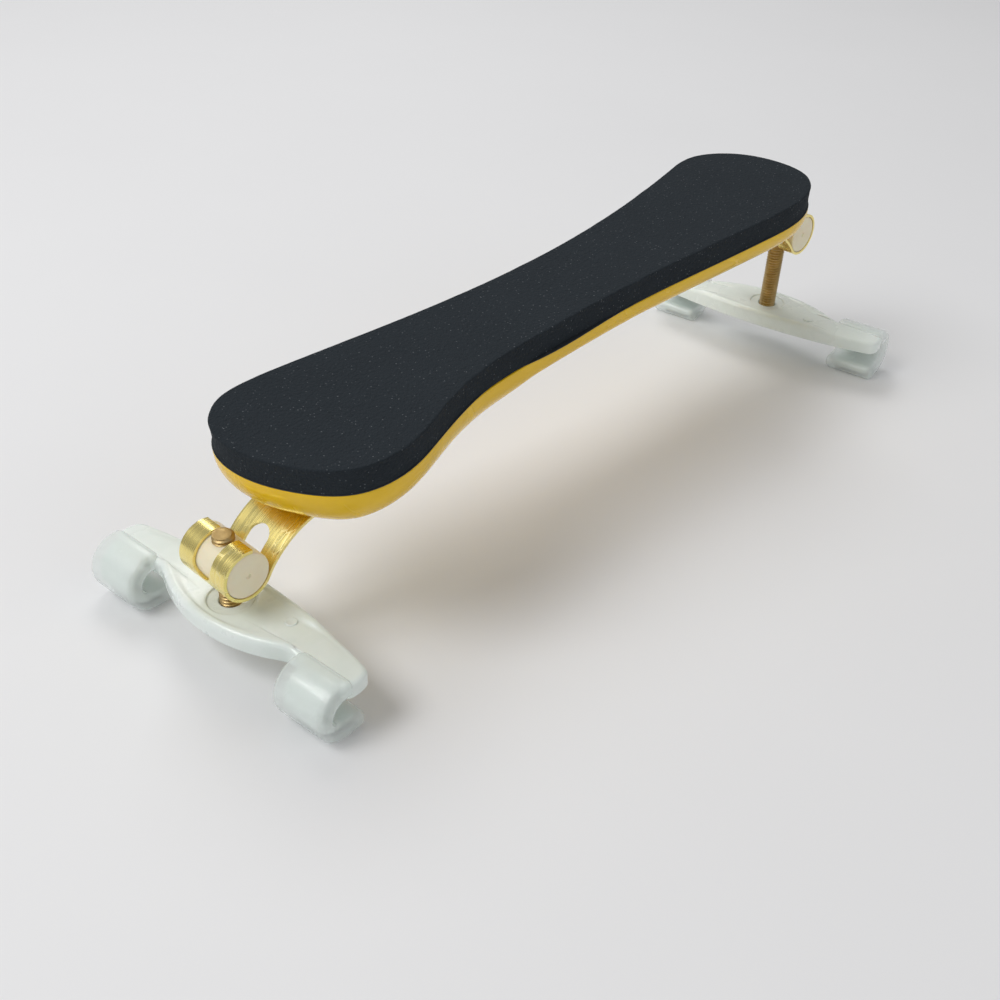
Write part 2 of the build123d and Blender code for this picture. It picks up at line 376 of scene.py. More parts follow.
def span(group: Tree, value: Socket, low: float, high: float) -> Socket:
    """Stretches a value so that low becomes 0 and high becomes 1, held between them.

    Args:
        group: the node tree.
        value: the socket to stretch.
        low: value that becomes 0.
        high: value that becomes 1.

    Returns:
        The stretched socket.
    """
    node = group.nodes.new("ShaderNodeMapRange")
    node.inputs["From Min"].default_value = low
    node.inputs["From Max"].default_value = high
    group.links.new(value, node.inputs["Value"])
    return node.outputs["Result"]


def noise(
    group: Tree, place: Socket, scale: Socket | float, detail: float = 2.0, rough: float = 0.5
) -> Socket:
    """Adds a Noise Texture.

    Args:
        group: the node tree.
        place: coordinate socket.
        scale: a socket or a number, in features per metre.
        detail: octaves.
        rough: weight of the finer octaves.

    Returns:
        Its factor socket.
    """
    node = group.nodes.new("ShaderNodeTexNoise")
    node.inputs["Detail"].default_value = detail
    node.inputs["Roughness"].default_value = rough
    group.links.new(place, node.inputs["Vector"])
    if isinstance(scale, Socket):
        group.links.new(scale, node.inputs["Scale"])
    else:
        node.inputs["Scale"].default_value = scale
    return node.outputs[0]


def build_effects() -> None:
    """Builds every shared node group once."""
    group, given, result, place = new_group(Effect.GRAIN, [("Scale", 2500.0)], ["Height", "Mask"])
    fine = noise(group, place, given["Scale"], 3.0, 0.6)
    broad = noise(group, place, 60.0, 3.0)
    group.links.new(fine, result["Height"])
    group.links.new(span(group, broad, 0.35, 0.65), result["Mask"])

    group, given, result, place = new_group(
        Effect.SPECKS, [("Scale", 900.0), ("Size", 0.16)], ["Mask", "Height"]
    )
    cells = group.nodes.new("ShaderNodeTexVoronoi")
    group.links.new(place, cells.inputs["Vector"])
    group.links.new(given["Scale"], cells.inputs["Scale"])
    near = maths(group, "LESS_THAN", cells.outputs["Distance"], given["Size"])
    split = group.nodes.new("ShaderNodeSeparateColor")
    group.links.new(cells.outputs["Color"], split.inputs["Color"])
    rare = span(group, split.outputs["Red"], 0.55, 1.0)
    group.links.new(maths(group, "MULTIPLY", near, rare), result["Mask"])
    group.links.new(cells.outputs["Distance"], result["Height"])

    group, given, result, place = new_group(
        Effect.STREAKS, [("Along", 60.0), ("Across", 3200.0)], ["Height", "Mask"]
    )
    stretch = group.nodes.new("ShaderNodeMapping")
    join = group.nodes.new("ShaderNodeCombineXYZ")
    for axis in ("X", "Z"):
        group.links.new(given["Along"], join.inputs[axis])
    group.links.new(given["Across"], join.inputs["Y"])
    group.links.new(join.outputs[0], stretch.inputs["Scale"])
    group.links.new(place, stretch.inputs["Vector"])
    lines = noise(group, stretch.outputs[0], 1.0, 4.0, 0.65)
    group.links.new(lines, result["Height"])
    group.links.new(span(group, lines, 0.38, 0.62), result["Mask"])

    group, given, result, place = new_group(Effect.HAZE, [("Scale", 90.0)], ["Mask", "Height"])
    cloud = noise(group, place, given["Scale"], 5.0, 0.6)
    group.links.new(span(group, cloud, 0.32, 0.68), result["Mask"])
    group.links.new(cloud, result["Height"])

    group, given, result, place = new_group(
        Effect.SCRATCHES, [("Scale", 500.0), ("Width", 0.03)], ["Mask", "Height"]
    )
    bent = group.nodes.new("ShaderNodeMapping")
    bent.inputs["Scale"].default_value = (0.12, 1.0, 0.5)
    bent.inputs["Rotation"].default_value = (0.3, 0.2, 0.7)
    group.links.new(place, bent.inputs["Vector"])
    cracks = group.nodes.new("ShaderNodeTexVoronoi")
    cracks.feature = "DISTANCE_TO_EDGE"
    group.links.new(bent.outputs[0], cracks.inputs["Vector"])
    group.links.new(given["Scale"], cracks.inputs["Scale"])
    thin = maths(group, "LESS_THAN", cracks.outputs["Distance"], given["Width"])
    some = span(group, noise(group, place, 120.0), 0.5, 0.62)
    group.links.new(maths(group, "MULTIPLY", thin, some), result["Mask"])
    group.links.new(maths(group, "MULTIPLY", thin, -1.0), result["Height"])


@dataclass(frozen=True)
class Layer:
    """One shared effect laid over a finish.

    Attributes:
        effect: the shared node group.
        values: its inputs.
        tint: colour that its mask mixes in, or None.
        amount: how much of the tint the full mask brings.
        rougher: roughness that the full mask adds.
        bump: strength of its bump.
        depth: height of its bump, in metres.
    """

    effect: Effect
    values: tuple[tuple[str, float], ...] = ()
    tint: Colour | None = None
    amount: float = 0.5
    rougher: float = 0.0
    bump: float = 0.0
    depth: float = 0.00005


@dataclass(frozen=True)
class Finish:
    """A surface finish: constants for the shader's own sockets, and layers of shared effects."""

    name: str
    colour: Colour
    roughness: float
    layers: tuple[Layer, ...] = ()
    metallic: float = 0.0
    constants: tuple[tuple[str, float], ...] = ()
    scatter: Colour | None = None

    def material(self) -> bpy.types.Material:
        """Builds the material, or returns the one already built.

        Returns:
            The material of this finish's name.
        """
        if self.name in bpy.data.materials:
            return bpy.data.materials[self.name]
        made = bpy.data.materials.new(self.name)
        made.use_nodes = True
        tree = made.node_tree
        shader = tree.nodes["Principled BSDF"]
        shader.inputs["Base Color"].default_value = (*self.colour, 1.0)
        shader.inputs["Roughness"].default_value = self.roughness
        shader.inputs["Metallic"].default_value = self.metallic
        for name, value in self.constants:
            shader.inputs[name].default_value = value
        if self.scatter:
            shader.inputs["Subsurface Radius"].default_value = self.scatter
        made.diffuse_color = (*self.colour, 1.0)
        self.lay(tree, shader)
        return made

    def lay(self, tree: Tree, shader: Node) -> None:
        """Adds the layers in order, each over the ones before.

        Args:
            tree: the material's node tree.
            shader: its Principled BSDF.
        """
        colour = rough = normal = None
        for layer in self.layers:
            node = tree.nodes.new("ShaderNodeGroup")
            node.node_tree = bpy.data.node_groups[layer.effect.value]
            for name, value in layer.values:
                node.inputs[name].default_value = value
            if layer.tint:
                mix = tree.nodes.new("ShaderNodeMix")
                mix.data_type = "RGBA"
                mix.inputs[MIX_FIRST].default_value = (*self.colour, 1.0)
                if colour:
                    tree.links.new(colour, mix.inputs[MIX_FIRST])
                mix.inputs[MIX_SECOND].default_value = (*layer.tint, 1.0)
                strength = maths(tree, "MULTIPLY", node.outputs["Mask"], layer.amount)
                tree.links.new(strength, mix.inputs[MIX_FACTOR])
                colour = mix.outputs[MIX_RESULT]
            if layer.rougher:
                extra = maths(tree, "MULTIPLY", node.outputs["Mask"], layer.rougher)
                rough = maths(tree, "ADD", extra, rough if rough else self.roughness)
            if layer.bump:
                bump = tree.nodes.new("ShaderNodeBump")
                bump.inputs["Strength"].default_value = layer.bump
                bump.inputs["Distance"].default_value = layer.depth
                tree.links.new(node.outputs["Height"], bump.inputs["Height"])
                if normal:
                    tree.links.new(normal, bump.inputs["Normal"])
                normal = bump.outputs["Normal"]
        for socket, name in ((colour, "Base Color"), (rough, "Roughness"), (normal, "Normal")):
            if socket:
                tree.links.new(socket, shader.inputs[name])


FOAM = Finish(
    "charcoal_foam", (0.0165, 0.0225, 0.0285), 0.95,
    (
        Layer(Effect.HAZE, (("Scale", 45.0),), (0.0205, 0.0275, 0.0345), 0.6),
        Layer(Effect.GRAIN, (("Scale", 1700.0),), None, 0.0, 0.0, 1.0, 0.0006),
        Layer(Effect.SPECKS, (("Scale", 1500.0), ("Size", 0.2)), (0.17, 0.185, 0.20), 0.6,
              0.0, 0.35, 0.0001),
    ),
    constants=(("Specular IOR Level", 0.28),),
)
YELLOW = Finish(
    "golden_yellow_gloss", (0.86, 0.55, 0.008), 0.18,
    (
        Layer(Effect.HAZE, (("Scale", 55.0),), (0.80, 0.47, 0.005), 0.4, 0.05),
        Layer(Effect.GRAIN, (("Scale", 420.0),), None, 0.0, 0.04, 0.07, 0.00012),
        Layer(Effect.SCRATCHES, (("Scale", 260.0),), (0.94, 0.66, 0.04), 0.2, 0.2, 0.1, 0.00002),
    ),
    constants=(("Coat Weight", 0.2), ("Coat Roughness", 0.06), ("Specular IOR Level", 0.36)),
)
GOLD = Finish(
    "brushed_gold_strip", (0.97, 0.84, 0.34), 0.16,
    (
        Layer(Effect.STREAKS, (), (0.88, 0.70, 0.22), 0.45, 0.12, 0.28, 0.00003),
        Layer(Effect.HAZE, (("Scale", 240.0),), (0.84, 0.65, 0.18), 0.3, 0.07, 0.12, 0.00012),
        Layer(Effect.SCRATCHES, (("Scale", 700.0),), (1.0, 0.92, 0.58), 0.4, 0.1),
    ),
    metallic=1.0,
)
NYLON = Finish(
    "cream_nylon", (0.93, 0.85, 0.64), 0.34,
    (
        Layer(Effect.HAZE, (("Scale", 260.0),), (0.87, 0.76, 0.53), 0.5, 0.08),
        Layer(Effect.GRAIN, (("Scale", 1800.0),), None, 0.0, 0.0, 0.12, 0.00006),
    ),
    constants=(("Subsurface Weight", 0.45),),
    scatter=(0.0035, 0.0028, 0.0018),
)
ROD = Finish(
    "brass_thread", (0.66, 0.50, 0.25), 0.24,
    (
        Layer(Effect.HAZE, (("Scale", 420.0),), (0.40, 0.28, 0.12), 0.7, 0.18),
        Layer(Effect.GRAIN, (("Scale", 3800.0),), None, 0.0, 0.1, 0.15, 0.00003),
    ),
    metallic=1.0,
)
MILKY = Finish(
    "milky_moulding", (0.85, 0.91, 0.875), 0.22,
    (
        Layer(Effect.HAZE, (("Scale", 130.0),), (0.75, 0.82, 0.775), 0.6, 0.1),
        Layer(Effect.GRAIN, (("Scale", 700.0),), None, 0.0, 0.05, 0.16, 0.00012),
        Layer(Effect.SCRATCHES, (("Scale", 420.0),), (0.86, 0.90, 0.88), 0.25, 0.1, 0.05, 0.00002),
    ),
    constants=(("Subsurface Weight", 0.6), ("IOR", 1.45), ("Coat Weight", 0.3)),
    scatter=(0.006, 0.0064, 0.0062),
)
CLEAR = Finish(
    "clear_soft_sleeve", (0.92, 0.975, 0.955), 0.14,
    (
        Layer(Effect.HAZE, (("Scale", 200.0),), (0.82, 0.89, 0.865), 0.6, 0.14),
        Layer(Effect.GRAIN, (("Scale", 350.0),), None, 0.0, 0.05, 0.12, 0.0001),
    ),
    constants=(("Alpha", 0.42), ("IOR", 1.42), ("Coat Weight", 0.5), ("Coat Roughness", 0.12)),
)
STEEL = Finish(
    "plated_screw", (0.66, 0.65, 0.62), 0.28,
    (
        Layer(Effect.HAZE, (("Scale", 500.0),), (0.48, 0.47, 0.44), 0.5, 0.15),
        Layer(Effect.GRAIN, (("Scale", 4000.0),), None, 0.0, 0.1, 0.12, 0.00003),
    ),
    metallic=1.0,
)
INSERT = Finish(
    "insert_brass", (0.76, 0.56, 0.27), 0.32,
    (Layer(Effect.STREAKS, (), (0.55, 0.38, 0.16), 0.6, 0.1, 0.2, 0.00003),),
    metallic=1.0,
)
FILM = Finish(
    "adhesive_film", (0.020, 0.024, 0.029), 0.6,
    (
        Layer(Effect.SPECKS, (("Scale", 700.0), ("Size", 0.3)), (0.05, 0.05, 0.055), 0.9, 0.2, 0.3,
              0.0001),
    ),
)
FLOOR = Finish(
    "pale_floor", (0.83, 0.83, 0.84), 0.75,
    (Layer(Effect.HAZE, (("Scale", 6.0),), (0.80, 0.80, 0.81), 0.5),),
)


def dress(piece: bpy.types.Object, finish: Finish) -> None:
    """Gives an object one finish.

    Args:
        piece: the object.
        finish: its finish.
    """
    piece.data.materials.clear()
    piece.data.materials.append(finish.material())


def place_piece(piece: bpy.types.Object, body: str, slot: str, finish: Finish, *nodes: str) -> None:
    """Dresses a new piece, ties it to its body, and hides the nodes it stands for.

    Args:
        piece: the new object.
        body: the CAD body it rides on.
        slot: the record's material slot; not used.
        finish: its finish.
        nodes: CAD nodes that it replaces.
    """
    dress(piece, finish)
    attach(piece, body)
    if nodes:
        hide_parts(*nodes)
    log.info("%s on %s, %d faces", piece.name, body, len(piece.data.polygons))


def dress_nodes(slot_finishes: dict[str, Finish]) -> None:
    """Gives every CAD node that is shown the finish of its record slot.

    Args:
        slot_finishes: finish of each material slot.
    """
    for row in frame["record"]["subparts"]:
        node = frame["nodes"][row["node"]]
        material = slot_finishes[row["material_slot"]].material()
        for slot in node.material_slots:
            slot.material = material
        if not node.material_slots:
            node.data.materials.append(material)


# ---- frame data ----


def joint(name: str) -> dict:
    """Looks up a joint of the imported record.

    Args:
        name: the joint's name.

    Returns:
        Its row.
    """
    return next(j for j in frame["record"]["behaviour"]["joints"] if j["name"] == name)


def joint_place(name: str) -> np.ndarray:
    """Looks up where a joint is at rest.

    Args:
        name: the joint's name.

    Returns:
        Its place in the frame, in millimetres.
    """
    return np.array(joint(name)["pos_m"]) / MM


@dataclass
class Bar:
    """The base's own directions: along the bar from the near barrel, across it, and square up."""

    start: np.ndarray = field(default_factory=lambda: joint_place("near_fold"))
    stop: np.ndarray = field(default_factory=lambda: joint_place("far_fold"))

    def __post_init__(self) -> None:
        """Works out the unit directions from the two barrel centres."""
        run = self.stop - self.start
        self.length = float(np.linalg.norm(run))
        self.along = run / self.length
        self.across = np.array([0.0, 1.0, 0.0])
        self.up = np.cross(self.along, self.across)

    def to_frame(self, points: np.ndarray) -> np.ndarray:
        """Turns the bar's points into frame points.

        Args:
            points: (..., 3) points as along, across and up, in millimetres.

        Returns:
            Frame points of the same shape, in millimetres.
        """
        return self.start + points @ np.array([self.along, self.across, self.up])


# ---- the padded base ----


@dataclass
class PaddedBase:
    """The yellow base and the foam pad stuck on it, both of one plan."""

    bar: Bar
    near_plan: Points = (
        (64.0, -11.7), (48.0, -12.9), (35.5, -16.8), (25.5, -19.4), (16.2, -17.6), (9.4, -9.6),
        (5.9, 1.5), (7.9, 11.2), (13.4, 15.8), (20.5, 16.5), (31.0, 15.3), (52.0, 12.2),
        (78.0, 9.7),
    )
    far_plan: Points = (
        (68.4, 9.7), (46.4, 11.9), (27.4, 15.3), (17.9, 15.9), (10.6, 10.9), (6.6, 0.0),
        (9.0, -10.6), (17.9, -15.8), (31.4, -16.2), (52.4, -14.2), (78.4, -12.2),
    )
    foam_height: float = 19.5
    foam_thickness: float = 5.0
    base_top: float = 14.35
    near_depth: float = 9.47
    middle_depth: float = 4.5
    far_depth: float = 7.32
    rim: float = 1.0
    belly_inset: float = 14.0
    near_belly: float = 10.2
    far_belly: float = 7.2
    belly_change: tuple[float, float] = (46.0, 100.0)
    near_seat_end: float = 51.0
    far_seat_end: float = 54.4
    ramp: float = 17.0
    spine_end: float = 22.0
    spine_across: float = -0.8
    seat_blend: float = 0.35
    inner_share: float = 0.985
    under_rings: int = 46
    top_round: float = 0.22
    cut_inset: float = 0.115
    cut_hollow: float = 0.16
    cut_waves: tuple = ((0.05, 17, 3), (0.035, 41, -5), (0.03, 0, 9))
    cut_rings: int = 14
    foam_rounds: tuple[float, float] = (0.12, 0.4)
    around: int = 720

    def plan(self) -> np.ndarray:
        """The closed plan that the base and the foam share.

        Returns:
            (around, 2) anticlockwise samples as along and across.
        """
        far = [(self.bar.length - back, across) for back, across in self.far_plan]
        return anticlockwise(periodic_spline(np.array([*self.near_plan, *far]), self.around))

    def depth(self, along: np.ndarray, inset: np.ndarray) -> np.ndarray:
        """Depth of the underside below the base's top.

        The belly is rim + d * sqrt(1 - (1 - inset / i)^2), a quarter ellipse in from the rim, where
        d falls off towards the far end. The seats are level at either end and rise to the thin
        middle by smooth steps. The lesser of the two counts, softened as
        -b * log(exp(-belly / b) + exp(-seat / b)) with the blend b.

        Args:
            along: distance along the bar.
            inset: distance in from the rim.

        Returns:
            Depths.
        """
        x = np.clip(inset / self.belly_inset, 0, 1)
        start, stop = self.belly_change
        change = np.clip((along - start) / (stop - start), 0, 1)
        full = self.near_belly + (self.far_belly - self.near_belly) * change
        belly = self.rim + full * np.sqrt(1 - (1 - x) ** 2)
        s = np.clip((along - self.near_seat_end) / self.ramp, 0, 1)
        far_start = self.bar.length - self.far_seat_end
        e = np.clip((along - far_start + self.ramp) / self.ramp, 0, 1)
        fall = self.near_depth - self.middle_depth
        rise = self.far_depth - self.middle_depth
        seat = self.near_depth - fall * smooth_step(s) + rise * smooth_step(e)
        soft = self.seat_blend
        return -soft * np.log(np.exp(-belly / soft) + np.exp(-seat / soft))

    def base_rings(self) -> np.ndarray:
        """Rings of the base from the middle of its underside out to the rim and over its top.

        A point goes from the rim towards the middle line by (1 - cos)-spaced steps, and its height
        is that of depth().

        Returns:
            (rings, around, 3) frame points.
        """
        plan = self.plan()
        reach = np.clip(plan[:, 0], self.spine_end, self.bar.length - self.spine_end)
        middle = np.column_stack([reach, np.full(self.around, self.spine_across)])
        out = plan - middle
        length = np.linalg.norm(out, axis=1)
        share = 1 - np.cos(np.linspace(0, math.pi / 2, self.under_rings)[:, None])
        inset = share * length * self.inner_share
        flat = plan[None] - (out / length[:, None])[None] * inset[..., None]
        rise = self.base_top - self.depth(flat[..., 0], inset)
        under = np.dstack([flat, rise])[::-1]
        edge = quarter_round(self.top_round, 4, 0.1)
        wall = plan[None] - edge[:, 0, None, None] * outward(plan)[None]
        height = self.base_top - self.top_round + edge[:, 1]
        over = np.dstack([wall, np.broadcast_to(height[:, None], wall.shape[:2])])
        return self.bar.to_frame(np.concatenate([under, over]))

    def foam_rings(self) -> np.ndarray:
        """Rings of the foam from its underside up the cut wall and over its crisp upper edge.

        The cut wall waves in by a few hundredths of a millimetre, as sums of sines of the place
        round the pad and of the height.

        Returns:
            (rings, around, 3) frame points.
        """
        loop = self.plan()
        low = self.foam_height - self.foam_thickness
        rings = slab_rings(loop, low, self.foam_height, *self.foam_rounds, walls=self.cut_rings)
        t = round_angles(self.around)[None]
        h = (rings[..., 2] - low) / self.foam_thickness
        wave = sum(size * np.sin(round_rate * t + up_rate * h)
                   for size, round_rate, up_rate in self.cut_waves)
        hollow = self.cut_hollow * np.sin(math.pi * np.clip(h, 0, 1))
        wall = (h > 0.02) & (h < 0.98)
        push = np.where(wall, self.cut_inset + wave + hollow, self.cut_inset)
        rings[..., :2] -= push[..., None] * outward(loop)[None]
        return self.bar.to_frame(rings)

    def build(self) -> None:
        """Makes the base and the foam pad."""
        base = surface("base_shell", self.base_rings())
        place_piece(base, "base", "base", YELLOW, "base_plate")
        foam = surface("foam_cushion", self.foam_rings())
        place_piece(foam, "base", "foam", FOAM, "foam_pad")


# ---- the fittings of one end ----


@dataclass
class Barrel:
    """The turned nylon barrel that the stud screws through."""

    end: End
    radius: float = 4.4
    half_length: float = 6.4
    chamfer: float = 0.3
    dimple: float = 0.55
    grooves: int = 15
    groove_depth: float = 0.012
    around: int = 96

    def rings(self) -> np.ndarray:
        """Surface of revolution about the barrel's axis: (radius, place along) pairs turned round.

        Returns:
            (rings, around, 3) frame points.
        """
        c = self.chamfer
        grooves = np.linspace(self.dimple + 0.35, self.radius - c - 0.2, self.grooves)
        ripple = self.groove_depth * np.cos(np.arange(self.grooves) * math.pi)
        face = [(self.dimple * 0.1, -0.32), (self.dimple * 0.6, -0.28), (self.dimple, -0.02)]
        face += list(zip(grooves, ripple - self.groove_depth))
        face += [(self.radius - c, 0.0), (self.radius - c * 0.3, -c * 0.3), (self.radius, -c)]
        face = np.array(face)
        left = np.column_stack([face[:, 0], -(self.half_length + face[:, 1])])
        right = np.column_stack([face[:, 0], self.half_length + face[:, 1]])[::-1]
        profile = np.vstack([left, right])
        a = round_angles(self.around)
        r, y = profile[:, 0, None], profile[:, 1, None]
        x, z = r * np.cos(a), r * np.sin(a)
        points = np.dstack([x, np.broadcast_to(y, x.shape), z])
        return joint_place(f"{self.end.value}_fold") + points

    def build(self) -> None:
        """Makes the barrel."""
        piece = surface(f"{self.end.value}_barrel", self.rings())
        place_piece(piece, f"{self.end.value}_barrel", "nylon", NYLON,
                    f"{self.end.value}_barrel_nut")


@dataclass
class Stud:
    """The threaded rod that stands in the foot."""

    end: End
    tip: float
    crest: float = 2.0
    pitch: float = 0.7
    root: float = 1.5
    chamfer: float = 0.16
    sunk: float = 3.4
    steepness: float = 1.3
    crest_width: float = 0.12
    centre: Points = ((1.45, 0.0), (1.38, 0.01), (0.9, 0.03), (0.45, 0.02), (0.1, 0.05))
    around: int = 48
    steps: int = 12

    def rings(self) -> np.ndarray:
        """Right-handed thread: radius = crest - (crest - root) * tooth(h / pitch - angle / 360),
        where the tooth is a flattened triangle wave, and no more than the chamfer leaves at the
        ends. The flat end has a shallow turned centre.

        Returns:
            (rings, around, 3) frame points.
        """
        foot = joint_place(f"{self.end.value}_turn")
        top = joint_place(f"{self.end.value}_fold")[2] + self.tip
        low = foot[2] - self.sunk
        heights = np.linspace(low, top, int((top - low) / self.pitch * self.steps) + 1)
        a = round_angles(self.around)[None]
        h = heights[:, None]
        phase = (h - low) / self.pitch - a / (2 * math.pi)
        tooth = np.clip(np.abs(2 * (phase % 1) - 1) * self.steepness - self.crest_width, 0, 1)
        radius = self.crest - (self.crest - self.root) * tooth
        ends = np.minimum(h - low, top - h) + self.crest - self.chamfer
        radius = np.minimum(radius, ends)
        body = np.dstack([radius * np.cos(a), radius * np.sin(a), np.broadcast_to(h, radius.shape)])
        inner, sink = np.array(self.centre).T
        cap = np.dstack([inner[:, None] * np.cos(a), inner[:, None] * np.sin(a),
                         np.broadcast_to((top - sink)[:, None], (len(inner), self.around))])
        points = np.concatenate([body, cap])
        points[..., :2] += foot[:2]
        return points

    def build(self) -> None:
        """Makes the stud."""
        piece = surface(f"{self.end.value}_threaded_rod", self.rings())
        place_piece(piece, f"{self.end.value}_foot", "rod", ROD, f"{self.end.value}_stud")


@dataclass
class Foot:
    """A milky moulded foot with two claws in clear soft sleeves."""

    end: End
    turn: float
    height: float = 12.0
    plate: float = 3.9
    half_length: float = 31.0
    inner: float = 7.2
    inner_end: float = 3.6
    reach: float = 6.9
    shoulder: float = 17.5
    root: float = 1.6
    claw_centre: float = 2.3
    claw_place: float = 24.9
    claw_width: float = 11.0
    core_width: float = 8.6
    claw_inside: float = 3.3
    claw_outside: float = 5.3
    claw_tip: float = 3.4
    sleeve_wall: float = 0.7
    sleeve_tip: float = 1.0
    arm_start: float = 15.0
    arm_ease: float = 5.0
    arm_fall: float = 0.75
    sleeve_over: float = 0.7
    core_over: float = 4.0
    hollow: float = 0.22
    mark_place: tuple[float, float] = (2.7, 12.5)
    mark_radius: float = 1.15
    dish: float = 4.3
    dish_depth: float = 0.35
    hole: float = 2.05
    edge_rounds: tuple[float, float] = (0.5, 1.1)
    corner_passes: int = 34
    core_corner: float = 0.9
    sleeve_corner: float = 1.3
    clearance: float = 0.02
    top_shares: tuple[float, ...] = (0.08, 0.16, 0.26, 0.4, 0.6, 0.8, 0.94)
    hollow_share: float = 0.4
    around: int = 360

    def __post_init__(self) -> None:
        """Works out the foot's own directions: inwards under the base, along the foot, and up."""
        side = 1.0 if self.end is End.NEAR else -1.0
        a = math.radians(self.turn)
        inward = np.array([side * math.cos(a), side * math.sin(a), 0.0])
        up = np.array([0.0, 0.0, 1.0])
        self.side = side
        self.turned = np.array([inward, np.cross(up, inward), up])
        self.hub = joint_place(f"{self.end.value}_turn") * np.array([1.0, 1.0, 0.0])

    def to_frame(self, points: np.ndarray) -> np.ndarray:
        """Turns the foot's points into frame points.

        Args:
            points: (..., 3) points as inward, along and up, in millimetres.

        Returns:
            Frame points of the same shape, in millimetres.
        """
        return self.hub + points @ self.turned

    def arc(self, bulge: float, ends: float, half: float, count: int) -> np.ndarray:
        """Circular arc through (ends, -half), (bulge, 0) and (ends, half).

        Args:
            bulge: place of its middle.
            ends: place of both its ends.
            half: half its length along the foot.
            count: number of samples.

        Returns:
            (count, 2) points.
        """
        sag = abs(bulge - ends)
        radius = (half**2 + sag**2) / (2 * sag)
        way = math.copysign(1.0, bulge - ends)
        a = np.linspace(-1, 1, count) * math.asin(half / radius)
        return np.column_stack([bulge - way * radius * (1 - np.cos(a)), radius * np.sin(a)])

    def outline(self) -> np.ndarray:
        """The plate's plan: two arcs joined by the arms' straight edges, with its corners rounded
        by averaging.

        Returns:
            (around, 2) anticlockwise samples as inward and along.
        """
        inner = self.arc(self.inner, self.inner_end, self.half_length, 160)
        outer = self.arc(-self.reach, -self.root, self.shoulder, 120)[::-1]
        arm = [(-self.claw_centre, self.half_length),
               (-self.claw_centre, self.shoulder + self.root)]
        back = [(x, -y) for x, y in arm[::-1]]
        loop = np.vstack([inner, arm, outer, back])
        return smooth_loop(even_spacing(anticlockwise(loop), self.around), self.corner_passes)

    def plate_rings(self) -> np.ndarray:
        """The plate as a ring surface: its wall and rounded edges, then the top drawn in to the
        dish's circle, down the dish, down the stud's hole and back out along the underside.

        Returns:
            (rings, around, 3) frame points that wrap.
        """
        loop = self.outline()
        low, high = self.height - self.plate, self.height
        shell = slab_rings(loop, low, high, *self.edge_rounds, walls=4)
        angle = np.unwrap(np.arctan2(loop[:, 1], loop[:, 0]))
        even = angle[0] + np.arange(self.around) / self.around * 2 * math.pi
        a = 0.35 * angle + 0.65 * even
        circle = np.column_stack([np.cos(a), np.sin(a)])
        self.lower_arms(shell)
        edge = shell[-1, :, :2]
        fall = high - shell[-1, :, 2]
        rings = [shell]
        for share in self.top_shares:
            flat = edge * (1 - share) + circle * (self.dish + 0.25) * share
            sunk = self.hollow * smooth_step(min(share / self.hollow_share, 1.0))
            rings.append(np.column_stack([flat, high - sunk - fall * (1 - share) ** 3])[None])
        floor = self.hollow + self.dish_depth
        path = [(self.dish + 0.25, self.hollow), (self.dish + 0.05, self.hollow + 0.06),
                (self.dish - 0.1, floor - 0.07), (self.dish - 0.3, floor),
                (self.hole + 0.25, floor), (self.hole, floor + 0.25), (self.hole, self.plate)]
        for radius, drop in path:
            level = np.full(self.around, high - drop)
            rings.append(np.column_stack([circle * radius, level])[None])
        under = shell[0, :, :2]
        for share in (0.3, 0.65):
            flat = circle * self.hole * (1 - share) + under * share
            rings.append(np.column_stack([flat, np.full(self.around, low)])[None])
        return self.to_frame(np.concatenate(rings))

    def lower_arms(self, shell: np.ndarray) -> None:
        """Lets the top of either arm down under its sleeve: the fall is a smooth step of the
        distance along the arm, in proportion to the height in the plate.

        Args:
            shell: rings of the plate's wall and edges, changed in place.
        """
        s = np.clip((np.abs(shell[..., 1]) - self.arm_start) / self.arm_ease, 0, 1)
        share = np.clip((shell[..., 2] - self.height + self.plate) / self.plate, 0, 1)
        shell[..., 2] -= self.arm_fall * smooth_step(s) * share

    def hook_rings(self, place: float, width: float, grow: float, start: float, tip: float,
                   corner: float) -> np.ndarray:
        """A rounded band carried along the hook: level, half round down and back, then level.

        The band's section is a rounded rectangle; at either end it shrinks by a quarter round.

        Args:
            place: middle of the claw along the foot.
            width: width of the band along the foot.
            grow: how far the band stands out beyond the hard claw, inside and out.
            start: how far inwards its top end starts from the bend's axis.
            tip: straight length past the bend at the bottom.
            corner: radius of the section's corners.

        Returns:
            (rings, around, 3) frame points.
        """
        middle = (self.claw_inside + self.claw_outside) / 2
        thick = (self.claw_outside - self.claw_inside) / 2 + grow
        wide = width / 2
        drop = self.height - self.claw_outside - self.sleeve_wall
        bend = np.linspace(math.pi / 2, 3 * math.pi / 2, 41)
        first = np.column_stack([np.linspace(start, 0, 6)[:-1], np.full(5, middle)])
        last = np.column_stack([np.linspace(0, tip - corner, 7)[1:], np.full(6, -middle)])
        path = np.vstack([first, middle * np.column_stack([np.cos(bend), np.sin(bend)]), last])
        along = np.gradient(path, axis=0)
        along /= np.linalg.norm(along, axis=1)[:, None]
        out = np.column_stack([along[:, 1], -along[:, 0]])
        ease = quarter_round(corner, 5, 0.0)[1:-1]
        lift = path[-1] + ease[:, 1:] * along[-1]
        sink = path[0] - ease[::-1, 1:] * along[0]
        path = np.vstack([sink[0], sink, path, lift, lift[-1]])
        more = len(ease) + 1
        out = np.vstack([np.repeat(out[:1], more, axis=0), out, np.repeat(out[-1:], more, axis=0)])
        closing = np.append(ease[:, 0], ease[-1, 0] + 0.12)
        shrink = np.concatenate([closing[::-1], np.zeros(len(path) - 2 * more), closing])
        a = round_angles(64)
        section_wide, section_thick = self.section(a, wide, thick, corner)
        w = section_wide[None] * (1 - shrink / wide)[:, None]
        t = section_thick[None] * (1 - shrink / thick)[:, None]
